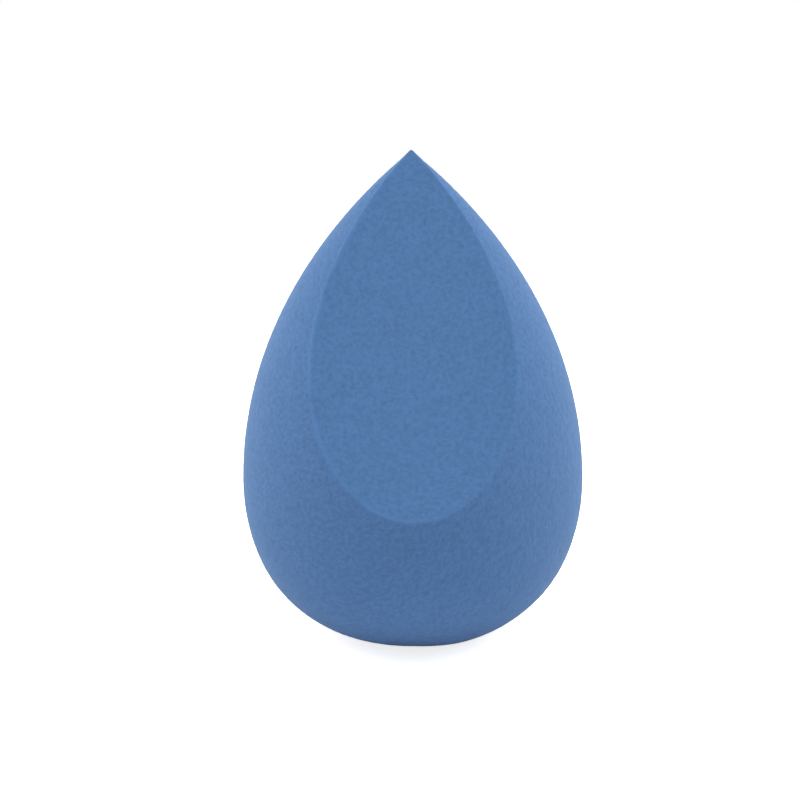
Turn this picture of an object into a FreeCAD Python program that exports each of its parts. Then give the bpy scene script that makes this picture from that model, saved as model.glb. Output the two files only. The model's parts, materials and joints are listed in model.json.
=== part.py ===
import FreeCAD, Part
import math
import os

# A makeup sponge: one moulded teardrop of foam with one slanted slice taken off its front.
# Sizes are in millimetres and degrees. +Z is up, the slice faces -Y, and the origin is the
# middle of the flat foot that the sponge stands on.

# The moulded teardrop
point_height = 60.15  # of the moulded point, which the slice then trims to a 60 mm sponge
point_half_angle = 48.8  # between the axis and the flank at the point
widest_diameter = 41.2
widest_height = 19.2
foot_diameter = 10.0

# How far each end of the outline's two curves holds its direction before it bends away
foot_run = 7.5  # outwards from the edge of the foot
belly_run_down = 12.0  # straight down from the widest place
belly_run_up = 15.6  # straight up from the widest place
point_run = 16.9  # down the flank from the point

# The slice, which leaves the foam's open cells on a flat face
slice_angle = 27.5  # between the axis and the flat face
slice_behind_point = 0.25  # the knife goes in this far behind the moulded point

out = FreeCAD.Vector(0, 1, 0)
up = FreeCAD.Vector(0, 0, 1)
across = FreeCAD.Vector(1, 0, 0)


def flank_direction(angle):
    """The direction down a flank that leaves the axis at this angle, seen from the side."""
    return out * math.sin(math.radians(angle)) - up * math.cos(math.radians(angle))


def curve(start, start_lead, end_lead, end):
    """A smooth curve that leaves start towards start_lead and reaches end from end_lead.

    It comes in quarters, because short faces of revolution take fewer facets than one long one.
    """
    bezier = Part.BezierCurve()
    bezier.setPoles([start, start_lead, end_lead, end])
    quarters = [0, 0.25, 0.5, 0.75, 1]
    return [bezier.toShape(begin, finish) for begin, finish in zip(quarters, quarters[1:])]


def moulded_teardrop():
    """The whole teardrop as it leaves the mould: half of its side view, turned about the axis."""
    foot_middle = FreeCAD.Vector(0, 0, 0)
    foot_edge = out * (foot_diameter / 2)
    belly = out * (widest_diameter / 2) + up * widest_height
    point = up * point_height
    foot = Part.makeLine(foot_middle, foot_edge)
    lower_side = curve(foot_edge, foot_edge + out * foot_run, belly - up * belly_run_down, belly)
    point_lead = point + flank_direction(point_half_angle) * point_run
    upper_side = curve(belly, belly + up * belly_run_up, point_lead, point)
    axis = Part.makeLine(point, foot_middle)
    half_side_view = Part.Face(Part.Wire([foot, *lower_side, *upper_side, axis]))
    return half_side_view.revolve(foot_middle, up, 360)


def foam_in_front_of_the_knife():
    """All the room in front of the flat face: a triangle in the side view, drawn out sideways."""
    down_the_cut = flank_direction(-slice_angle)
    entry = out * slice_behind_point + up * point_height
    above = entry - down_the_cut * widest_diameter
    below = entry + down_the_cut * (2 * point_height)
    in_front = FreeCAD.Vector(0, below.y, above.z)
    side_view = Part.Face(Part.makePolygon([above, below, in_front, above]))
    side_view.translate(across * -widest_diameter)
    return side_view.extrude(across * (2 * widest_diameter))


os.makedirs("parts", exist_ok=True)
sponge_body = moulded_teardrop().cut(foam_in_front_of_the_knife()).Solids[0]
sponge_body.exportStep("parts/sponge_body.step")
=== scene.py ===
import json
import math

import bmesh
import bpy
import numpy as np
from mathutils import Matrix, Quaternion, Vector, noise
from mathutils.geometry import interpolate_bezier
from mathutils.kdtree import KDTree


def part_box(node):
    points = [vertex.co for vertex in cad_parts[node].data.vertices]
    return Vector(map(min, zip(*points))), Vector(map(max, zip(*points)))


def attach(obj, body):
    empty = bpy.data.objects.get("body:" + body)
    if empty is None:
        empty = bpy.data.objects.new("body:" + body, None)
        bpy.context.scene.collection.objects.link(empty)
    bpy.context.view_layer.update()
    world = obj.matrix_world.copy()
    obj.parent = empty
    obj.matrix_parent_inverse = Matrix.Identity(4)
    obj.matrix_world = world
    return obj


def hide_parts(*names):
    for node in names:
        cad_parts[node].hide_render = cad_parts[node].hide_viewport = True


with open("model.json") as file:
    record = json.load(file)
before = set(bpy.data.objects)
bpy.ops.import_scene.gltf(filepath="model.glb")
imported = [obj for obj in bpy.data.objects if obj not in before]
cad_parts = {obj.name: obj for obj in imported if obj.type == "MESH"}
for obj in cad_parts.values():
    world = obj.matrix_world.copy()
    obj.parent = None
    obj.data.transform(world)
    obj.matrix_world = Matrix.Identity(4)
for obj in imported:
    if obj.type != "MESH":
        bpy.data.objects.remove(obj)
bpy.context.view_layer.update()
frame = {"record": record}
mm = 0.001

# The sponge: one piece of soft polyurethane foam, cast in a teardrop mould that leaves a fine
# closed skin. A knife then takes one straight slice off its front, from just behind the point
# down to the belly, and leaves the foam's cells open on a flat face. Nothing is fixed to it.
_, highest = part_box("sponge_body")
cut = next(mount for mount in frame["record"]["mounts"] if mount["name"] == "cut_face")

# The moulded outline in millimetres: two curves that meet upright at the widest place
widest_radius = highest.x / mm
widest_height = 19.2
foot_radius = 5.0
point_height = 60.15
point_half_angle = math.radians(48.8)
foot_run = 7.5
belly_run_down = 12.0
belly_run_up = 15.6
point_run = 16.9
outline_steps = 600

# How the foam has settled where it stands: fuller low down, and spread a little to its right
low_swell = 0.16
low_swell_height = 6.5
low_swell_spread = 4.5
foot_spread = 1.0
foot_spread_height = 1.2

# The slice
cut_middle = np.array(cut["pos_m"]) / mm
cut_normal = np.array(cut["axis"])
across_the_cut = np.array([1.0, 0.0, 0.0])
up_the_cut = np.cross(cut_normal, across_the_cut)
core_depth = 13.0  # of a place inside the foam, straight behind the middle of the cut
core = cut_middle - core_depth * cut_normal

# The mesh: a block of quads that is wrapped round the foam, with its front as the cut
rows_to_a_side = 128
rim_steps = 4000
halvings = 40  # of a ray, to find where it meets the skin
back_corner = 0.59  # how far round the back the sides of the block reach, at its corners
back_side = 0.68  # and between them
sheet_margin = 0.01  # round each side of the block where it is laid out flat

# How the knife's edge has worn round, and the painted highlight along it
fully_worn = 0.15  # as far as this from the rim
wear_ends = 0.45  # and not worn at all from here on
wear_passes = 2
crisp_to = 22.0  # as far as this from the tip the knife's edge is still crisp
worn_from = 40.0  # and from here on it is fully worn
highlight_width = 0.45  # of the painted highlight: a lighter line along the rim, where its edge catches the light
full_highlight_x = -9.0  # left of this the highlight is painted at full strength
faint_highlight_x = 7.0  # and right of this only at the share below
faint_highlight_share = 0.4
tip_lift = 0.2  # the last of the tip is drawn out to a point
tip_reach = 2.2

# The foam's grain: its size, and how far it goes in and out in the skin and in the cut
grain_size = 0.44
fine_grain = 1.9  # times as fine, for its second layer
fine_share = 0.4  # of the first layer's strength
wall_level = -0.6  # of the two layers together, on the tops of the foam's walls
pore_level = 0.75  # and deep in its pores
skin_relief = 0.02
cut_relief = 0.022
burst_spacing = 1.8  # between the few large bubbles that have burst
burst_width = 0.6
burst_variety = 0.4  # how much their widths differ
burst_floor = 0.3  # the share of a bubble that is its floor
burst_depth = 0.08
smooth_tip = 1.5  # the grain fades out on this much of the tip
smooth_foot = 0.01  # and there is none below this height


def moulded_outline():
    """Heights and radii of the teardrop's side view, from the edge of the foot up to the point."""
    foot_edge = Vector((foot_radius, 0))
    belly = Vector((widest_radius, widest_height))
    point = Vector((0, point_height))
    flank = Vector((math.sin(point_half_angle), -math.cos(point_half_angle)))
    foot_lead = foot_edge + Vector((foot_run, 0))
    belly_lead_down = belly - Vector((0, belly_run_down))
    belly_lead_up = belly + Vector((0, belly_run_up))
    point_lead = point + flank * point_run
    lower_side = interpolate_bezier(foot_edge, foot_lead, belly_lead_down, belly, outline_steps)
    upper_side = interpolate_bezier(belly, belly_lead_up, point_lead, point, outline_steps)
    radii, heights = np.array([*lower_side, *upper_side[1:]]).T
    return heights, radii


outline_heights, outline_radii = moulded_outline()


def skin_radius(x, z):
    """How far the skin stands from the axis: the moulded outline, and how it has settled."""
    swell = low_swell * np.exp(-(((z - low_swell_height) / low_swell_spread) ** 2))
    spread = foot_spread * np.exp(-np.abs(z) / foot_spread_height) * np.clip(x / foot_radius, 0, 1)
    return np.interp(z, outline_heights, outline_radii) + swell + spread


def skin_along(start, directions):
    """The places where rays from a start inside the foam meet the moulded skin, by halving."""
    near = np.zeros(len(directions))
    far = np.full(len(directions), 2 * point_height)
    for _ in range(halvings):
        middle = (near + far) / 2
        x, y, z = (start + directions * middle[:, None]).T
        outside = (np.hypot(x, y) > skin_radius(x, z)) | (z < 0) | (z > point_height)
        near = np.where(outside, near, middle)
        far = np.where(outside, middle, far)
    return start + directions * near[:, None]


def cut_rim(share):
    """Places on the rim of the cut, by their share of the way round from the tip."""
    turn = np.linspace(0, 2 * math.pi, rim_steps + 1)[:, None]
    rim = skin_along(cut_middle, up_the_cut * np.cos(turn) + across_the_cut * np.sin(turn))
    way = np.concatenate([[0], np.cumsum(np.linalg.norm(np.diff(rim, axis=0), axis=1))])
    return np.stack([np.interp(share * way[-1], way, rim[:, axis]) for axis in range(3)], axis=1)


def patch(x, z, edge):
    """A square from -1 to 1 stretched evenly inside a closed edge, whose shares start at one corner."""
    right, left = edge((1 - z) / 8), edge(0.5 + (1 + z) / 8)
    bottom, top = edge(0.25 + (1 - x) / 8), edge(0.75 + (1 + x) / 8)
    top_right, bottom_right, bottom_left, top_left = edge(np.array([0, 0.25, 0.5, 0.75]))
    x, z = (1 + x[:, None]) / 2, (1 + z[:, None]) / 2
    corners_right = top_right * z + bottom_right * (1 - z)
    corners_left = top_left * z + bottom_left * (1 - z)
    between_sides = right * x + left * (1 - x)
    between_ends = top * z + bottom * (1 - z)
    return between_sides + between_ends - corners_right * x - corners_left * (1 - x)


def away_from_core(share, back):
    """Directions from the core: the rim at back 0, and straight away from the cut at back 1."""
    rim = cut_rim(share) - core
    rim /= np.linalg.norm(rim, axis=1)[:, None]
    spread = np.arccos(rim @ -cut_normal)
    turn = back * spread
    from_rim = rim * np.sin(spread - turn)[:, None]
    from_back = -cut_normal * np.sin(turn)[:, None]
    return (from_rim + from_back) / np.sin(spread)[:, None]


def back_edge(share):
    """How far round the back the sides reach: less at the corners, so that the quads stay square."""
    return back_corner + (back_side - back_corner) * np.abs(np.sin(4 * math.pi * share))


def wrap_block(block):
    """Where the points of a cube from -1 to 1 lie on the sponge.

    Its front becomes the cut, with one corner at the tip, and its other sides become the skin.
    """
    x, y, z = block.T
    share = np.select(
        [x == 1, z == -1, x == -1],
        [(1 - z) / 8, 0.25 + (1 - x) / 8, 0.5 + (1 + z) / 8],
        0.75 + (1 + x) / 8,
    )
    directions = away_from_core(share, (1 + y) / 2 * back_edge(share))
    back = y == 1
    directions[back] = patch(x[back], z[back], lambda edge: away_from_core(edge, back_edge(edge)))
    directions /= np.linalg.norm(directions, axis=1)[:, None]
    points = skin_along(core, directions)
    front = y == -1
    points[front] = patch(x[front], z[front], cut_rim)
    return points


def neighbours_average(points, edges):
    """For each point the average of the points that an edge joins it to."""
    one, other = edges.T
    joined = np.concatenate([one, other])
    partner = np.concatenate([other, one])
    count = np.bincount(joined, minlength=len(points))
    sums = [np.bincount(joined, points[partner, axis], len(points)) for axis in range(3)]
    return np.stack(sums, axis=1) / count[:, None]


def smooth_step(low, high, value):
    """0 below low, 1 above high and a smooth rise between them."""
    rise = min(max((value - low) / (high - low), 0), 1)
    return rise * rise * (3 - 2 * rise)


def grain_at(place):
    """The grain at a place in millimetres: 0 on the tops of the foam's walls and 1 deep in its pores."""
    coarse = noise.noise(place / grain_size)
    fine = noise.noise(place / grain_size * fine_grain)
    return smooth_step(wall_level, pore_level, coarse + fine_share * fine)


def burst_at(place):
    """How deep a place lies in a burst bubble, from 0 outside it to 1 in its middle."""
    distances, middles = noise.voronoi(place / burst_spacing)
    half_width = burst_width / 2 * (1 + burst_variety * noise.cell(middles[0]))
    return smooth_step(half_width, burst_floor * half_width, distances[0] * burst_spacing)


def read_mesh(values, name, kind, width):
    """One property of all of a mesh's points, edges or corners as rows of numbers."""
    numbers = np.zeros(width * len(values), kind)
    values.foreach_get(name, numbers)
    return numbers.reshape(-1, width)


def keep_with(mesh, name, kind, domain, numbers):
    """Keeps one number for each of a mesh's points or edges with the mesh, under a name."""
    mesh.attributes.new(name, kind, domain).data.foreach_set("value", numbers)


def open_the_grain(mesh, relief):
    """Works the grain into the mesh and keeps how deep each place lies as a value of its own."""
    places = read_mesh(mesh.vertices, "co", float, 3)
    normals = read_mesh(mesh.vertex_normals, "vector", float, 3)
    grain = np.array([grain_at(Vector(place) / mm) for place in places])
    bursts = np.array([burst_at(Vector(place) / mm) for place in places])
    heights = relief * (1 - 2 * grain) - burst_depth * bursts * (relief > 0)
    places += normals * heights[:, None] * mm
    mesh.vertices.foreach_set("co", places.ravel())
    # How deep each place lies in the pores and burst bubbles, which the colour darkens with as painted
    # shade
    keep_with(mesh, "grain", "FLOAT", "POINT", np.maximum(grain, bursts))
    mesh.update()


def lay_out_flat(mesh, cube):
    """Lays the six sides of the block out as the tiles of one flat sheet, for the baked colours."""
    corners = cube[read_mesh(mesh.loops, "vertex_index", int, 1)].reshape(-1, 4, 3)
    middles = corners.mean(axis=1)
    axis = np.abs(middles).argmax(axis=1)
    sign = np.sign(np.take_along_axis(middles, axis[:, None], axis=1))
    other_axes = np.array([[1, 2], [2, 0], [0, 1]])[axis]
    tile = np.take_along_axis(corners, other_axes[:, None], axis=2)
    tile[:, :, 0] *= sign
    tile = 0.5 + tile * (0.5 - sheet_margin)
    column_and_row = np.stack([axis, sign[:, 0] > 0], axis=1)
    sheet = (tile + column_and_row[:, None]) / np.array([3, 2])
    mesh.uv_layers.new(name="OFBake").data.foreach_set("uv", sheet.ravel())


def foam_mesh():
    """The sponge's mesh, all in quads, with a row of edges along the rim of the cut."""
    block = bmesh.new()
    bmesh.ops.create_cube(block, size=2)
    bmesh.ops.subdivide_edges(block, edges=block.edges, cuts=rows_to_a_side - 1, use_grid_fill=True)
    mesh = bpy.data.meshes.new("sponge_foam")
    block.to_mesh(mesh)
    block.free()
    cube = read_mesh(mesh.vertices, "co", float, 3).round(6)
    lay_out_flat(mesh, cube)
    points = wrap_block(cube)
    edges = read_mesh(mesh.edges, "vertices", int, 2)
    on_the_cut = cube[:, 1] == -1
    rim = on_the_cut & (np.abs(cube[:, [0, 2]]).max(axis=1) == 1)
    rim_tree = KDTree(rim.sum())
    for index, point in enumerate(points[rim]):
        rim_tree.insert(point, index)
    rim_tree.balance()
    from_rim = np.array([rim_tree.find(point)[2] for point in points])
    tip = points[np.argmax(points[:, 2])]
    from_tip = np.linalg.norm(points - tip, axis=1)
    near_rim = np.clip((wear_ends - from_rim) / (wear_ends - fully_worn), 0, 1)
    worn = near_rim * np.clip((from_tip - crisp_to) / (worn_from - crisp_to), 0, 1)
    for _ in range(wear_passes):
        points += (neighbours_average(points, edges) - points) * worn[:, None]
    points += up_the_cut * tip_lift * np.clip(1 - from_tip / tip_reach, 0, 1)[:, None] ** 2
    mesh.vertices.foreach_set("co", (points * mm).ravel())
    # A painted highlight along the rim of the cut, where its edge catches the light: full on the left,
    # fainter to the right
    highlight_by_side = np.interp(points[:, 0], [full_highlight_x, faint_highlight_x], [1, faint_highlight_share])
    painted_highlight = highlight_by_side * np.clip(1 - from_rim / highlight_width, 0, 1)
    keep_with(mesh, "edge", "FLOAT", "POINT", painted_highlight)
    mesh.update()
    relief = np.where(on_the_cut & ~rim, cut_relief, skin_relief)
    relief = relief * np.clip(from_tip / smooth_tip, 0, 1)
    open_the_grain(mesh, np.where(points[:, 2] > smooth_foot, relief, 0))
    face_on_the_cut = [bool(on_the_cut[list(face.vertices)].all()) for face in mesh.polygons]
    mesh.polygons.foreach_set("material_index", np.array(face_on_the_cut, np.int32))
    mesh.shade_smooth()
    keep_with(mesh, "sharp_edge", "BOOLEAN", "EDGE", rim[edges].all(axis=1))
    return mesh


# The foam's colour in its skin and in the cut, and how it varies
skin_blue = (0.0875, 0.1925, 0.418)
cut_blue = (0.0918, 0.2083, 0.447)
skin_contrast = 0.47  # between the foam's walls and its pores, where the darker colour is partly painted shade and partly the foam's own random tone
cut_contrast = 0.4
fibre_size = 0.27 * mm
fibre_share = 0.6  # of the contrast, and the grain makes the rest
fibre_height = 0.03 * mm  # of the bump that the fibres make
fibre_strength = 0.4  # of that bump
patch_size = 4 * mm  # of the patches where the dye has taken more or less
patch_tint = 0.04  # how much lighter or darker the patches are
highlight_tint = 1.18  # how much lighter the painted highlight along the rim is than the foam's own colour
highlight_patches = (0.2, 0.5)  # levels of the patches where the painted highlight is absent and where it is at full strength
noise_detail = 2.0


def add(tree, kind, inputs):
    """A shader node whose inputs are given as values or as the sockets that feed them."""
    node = tree.nodes.new("ShaderNode" + kind)
    for name, value in inputs.items():
        if isinstance(value, bpy.types.NodeSocket):
            tree.links.new(value, node.inputs[name])
        else:
            node.inputs[name].default_value = value
    return node


def sum_of(tree, operation, one, other):
    """The result of a sum with two numbers, such as MULTIPLY or ADD."""
    node = add(tree, "Math", {0: one, 1: other})
    node.operation = operation
    return node.outputs[0]


def blend_of(tree, share, one, other):
    """A colour between two colours."""
    node = tree.nodes.new("ShaderNodeMix")
    node.data_type = "RGBA"
    for socket, value in zip((node.inputs[0], node.inputs[6], node.inputs[7]), (share, one, other)):
        if isinstance(value, bpy.types.NodeSocket):
            tree.links.new(value, socket)
        else:
            socket.default_value = value
    return node.outputs[2]


def foam_grain():
    """A node group with what both faces of the foam share: its grain, partly painted shade in its pores,
    its dye, and the painted highlight along the rim of the cut.
    """
    group = bpy.data.node_groups.new("foam_grain", "ShaderNodeTree")
    for name in ("Fibre Size", "Fibre Share", "Patch Size"):
        group.interface.new_socket(name, in_out="INPUT", socket_type="NodeSocketFloat")
    for name in ("Depth", "Patch", "Rim Highlight", "Height"):
        group.interface.new_socket(name, in_out="OUTPUT", socket_type="NodeSocketFloat")
    given = group.nodes.new("NodeGroupInput").outputs
    place = group.nodes.new("ShaderNodeTexCoord").outputs["Object"]
    grain = group.nodes.new("ShaderNodeAttribute")
    grain.attribute_name = "grain"
    # The painted highlight along the rim of the cut, kept on the mesh as "edge"
    edge = group.nodes.new("ShaderNodeAttribute")
    edge.attribute_name = "edge"
    fibre_scale = sum_of(group, "DIVIDE", 1.0, given["Fibre Size"])
    patch_scale = sum_of(group, "DIVIDE", 1.0, given["Patch Size"])
    fibre, patches = (
        add(group, "TexNoise", {"Vector": place, "Scale": scale, "Detail": noise_detail}).outputs["Fac"]
        for scale in (fibre_scale, patch_scale)
    )
    fine = sum_of(group, "MULTIPLY", fibre, given["Fibre Share"])
    coarse_share = sum_of(group, "SUBTRACT", 1.0, given["Fibre Share"])
    coarse = sum_of(group, "MULTIPLY", grain.outputs["Fac"], coarse_share)
    result = group.nodes.new("NodeGroupOutput").inputs
    group.links.new(sum_of(group, "ADD", coarse, fine), result["Depth"])
    group.links.new(patches, result["Patch"])
    least, most = highlight_patches
    painted_highlight = add(group, "MapRange", {"Value": patches, "From Min": least, "From Max": most}).outputs[0]
    group.links.new(sum_of(group, "MULTIPLY", edge.outputs["Fac"], painted_highlight), result["Rim Highlight"])
    group.links.new(sum_of(group, "SUBTRACT", 1.0, fibre), result["Height"])
    return group


def shade_of(colour, factor):
    """A colour made darker or lighter, with its alpha."""
    return (*(factor * value for value in colour), 1.0)


def foam_material(name, colour, contrast):
    """Matt foam: darker down in its grain, partly as painted shade in its pores, lighter on its walls,
    and lighter still in a painted highlight along the rim of the cut.
    """
    material = bpy.data.materials.new(name)
    material.use_nodes = True
    tree = material.node_tree
    shader = tree.nodes["Principled BSDF"]
    grain = tree.nodes.new("ShaderNodeGroup")
    grain.node_tree = bpy.data.node_groups["foam_grain"]
    grain.inputs["Fibre Size"].default_value = fibre_size
    grain.inputs["Fibre Share"].default_value = fibre_share
    grain.inputs["Patch Size"].default_value = patch_size
    wall = 1 + contrast / 2
    pore = 1 - contrast / 2
    dark_wall = shade_of(colour, wall - patch_tint)
    light_wall = shade_of(colour, wall + patch_tint)
    walls = blend_of(tree, grain.outputs["Patch"], dark_wall, light_wall)
    # Darker deep in the pores and burst bubbles as painted shade, and with the fibres' own random tone
    grained = blend_of(tree, grain.outputs["Depth"], walls, shade_of(colour, pore))
    # Painted highlight: lighter along the rim of the cut, where its edge catches the light
    painted_highlight = blend_of(tree, grain.outputs["Rim Highlight"], grained, shade_of(colour, highlight_tint))
    tree.links.new(painted_highlight, shader.inputs["Base Color"])
    bump = add(tree, "Bump", {"Height": grain.outputs["Height"], "Strength": fibre_strength})
    bump.inputs["Distance"].default_value = fibre_height
    tree.links.new(bump.outputs["Normal"], shader.inputs["Normal"])
    shader.inputs["Roughness"].default_value = 0.9
    shader.inputs["Diffuse Roughness"].default_value = 0.5
    shader.inputs["Specular IOR Level"].default_value = 0.1
    shader.inputs["Sheen Weight"].default_value = 0.08
    shader.inputs["Sheen Roughness"].default_value = 0.5
    return material


foam_grain()
sponge = bpy.data.objects.new("sponge_foam", foam_mesh())
bpy.context.scene.collection.objects.link(sponge)
sponge.data.materials.append(foam_material("moulded_skin", skin_blue, skin_contrast))
sponge.data.materials.append(foam_material("sliced_foam", cut_blue, cut_contrast))
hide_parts("sponge_body")
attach(sponge, "root")

# The floor: a wide sheet of matt white paper. It is lifted to the white of the page for the
# camera and fades to plain white further out, and it keeps the sponge's soft shadow.
paper_white = 0.85
camera_lift = 0.78
fade_from = 90 * mm
fade_to = 220 * mm
floor_half_width = 4.0


def seen_directly(tree):
    """1 for the camera, and for what it sees in a mirror or through glass, and 0 for the light."""
    path = tree.nodes.new("ShaderNodeLightPath").outputs
    seen = sum_of(tree, "MAXIMUM", path["Is Camera Ray"], path["Is Glossy Ray"])
    return sum_of(tree, "MAXIMUM", seen, path["Is Transmission Ray"])


def paper():
    """White paper that shows shadows near the sponge and pure white further out."""
    material = bpy.data.materials.new("white_paper")
    material.use_nodes = True
    tree = material.node_tree
    tree.nodes.remove(tree.nodes["Principled BSDF"])
    matt = add(tree, "BsdfDiffuse", {"Color": (paper_white, paper_white, paper_white, 1)})
    lift = add(tree, "Emission", {"Strength": camera_lift})
    white = add(tree, "Emission", {"Strength": 1.0})
    seen = seen_directly(tree)
    lifted = add(tree, "AddShader", {0: matt.outputs[0], 1: lift.outputs[0]})
    place = tree.nodes.new("ShaderNodeTexCoord").outputs["Object"]
    distance = add(tree, "VectorMath", {0: place})
    distance.operation = "LENGTH"
    fade = add(tree, "MapRange", {"Value": distance.outputs["Value"]})
    fade.inputs["From Min"].default_value = fade_from
    fade.inputs["From Max"].default_value = fade_to
    shown = add(tree, "MixShader", {0: fade.outputs[0], 1: lifted.outputs[0], 2: white.outputs[0]})
    surface = add(tree, "MixShader", {0: seen, 1: matt.outputs[0], 2: shown.outputs[0]})
    tree.links.new(surface.outputs[0], tree.nodes["Material Output"].inputs["Surface"])
    return material


floor_mesh = bpy.data.meshes.new("floor")
block = bmesh.new()
bmesh.ops.create_grid(block, x_segments=1, y_segments=1, size=floor_half_width)
block.to_mesh(floor_mesh)
block.free()
floor = bpy.data.objects.new("floor", floor_mesh)
floor.data.materials.append(paper())
bpy.context.scene.collection.objects.link(floor)

# The light: a white studio that shows as plain white, a little cool where it lights the foam, with
# three slightly warm square softboxes: one behind each side of the sponge and one overhead.
room_light = 0.45
room_white = (0.96, 0.96, 1.0, 1.0)
lamp_white = (1.0, 1.0, 0.91)
lamp_size = 0.5
lamp_distance = 0.7
sponge_middle = Vector((0, 0, 30 * mm))  # which the lamps and the camera face
world = bpy.data.worlds.new("studio")
world.use_nodes = True
tree = world.node_tree
room = tree.nodes["Background"]
room.inputs["Color"].default_value = room_white
room.inputs["Strength"].default_value = room_light
page = add(tree, "Background", {"Color": (1, 1, 1, 1), "Strength": 1.0})
studio = add(tree, "MixShader", {0: seen_directly(tree), 1: room.outputs[0], 2: page.outputs[0]})
tree.links.new(studio.outputs[0], tree.nodes["World Output"].inputs["Surface"])
bpy.context.scene.world = world


def direction_to(azimuth, elevation):
    """The direction to a place so many degrees round from the front, to the right, and so many up."""
    azimuth = math.radians(azimuth)
    elevation = math.radians(elevation)
    level = Vector((math.sin(azimuth), -math.cos(azimuth), 0))
    return level * math.cos(elevation) + Vector((0, 0, math.sin(elevation)))


def softbox(name, azimuth, elevation, power):
    """A square soft lamp that faces the sponge from this direction."""
    lamp = bpy.data.lights.new(name, "AREA")
    lamp.shape = "SQUARE"
    lamp.size = lamp_size
    lamp.energy = power
    lamp.color = lamp_white
    direction = direction_to(azimuth, elevation)
    box = bpy.data.objects.new(name, lamp)
    box.location = sponge_middle + direction * lamp_distance
    box.rotation_euler = direction.to_track_quat("Z", "Y").to_euler()
    bpy.context.scene.collection.objects.link(box)


softbox("left_softbox", azimuth=-105, elevation=35, power=3.15)
softbox("right_softbox", azimuth=105, elevation=35, power=3.4)
softbox("top_softbox", azimuth=0, elevation=85, power=2.9)

# The camera: a long lens that looks a little down on the front of the sponge, turned by a hair
# and moved sideways and down, so that the sponge stands in the picture where the photograph has it.
camera_azimuth = -0.55
camera_elevation = 16.74
camera_roll = -0.32
camera_distance = 0.7
camera_shift = Vector((-1.5 * mm, -0.93 * mm, 0))
sensor_width = 36
focal_length = 260.5
towards_camera = direction_to(camera_azimuth, camera_elevation)
camera = bpy.data.objects.new("camera", bpy.data.cameras.new("camera"))
camera.data.sensor_width = sensor_width
camera.data.lens = focal_length
camera.rotation_mode = "QUATERNION"
facing = towards_camera.to_track_quat("Z", "Y") @ Quaternion((0, 0, 1), math.radians(camera_roll))
camera.rotation_quaternion = facing
camera.location = sponge_middle + towards_camera * camera_distance + facing @ camera_shift
bpy.context.scene.collection.objects.link(camera)
bpy.context.scene.camera = camera
bpy.context.scene.view_settings.view_transform = "Standard"
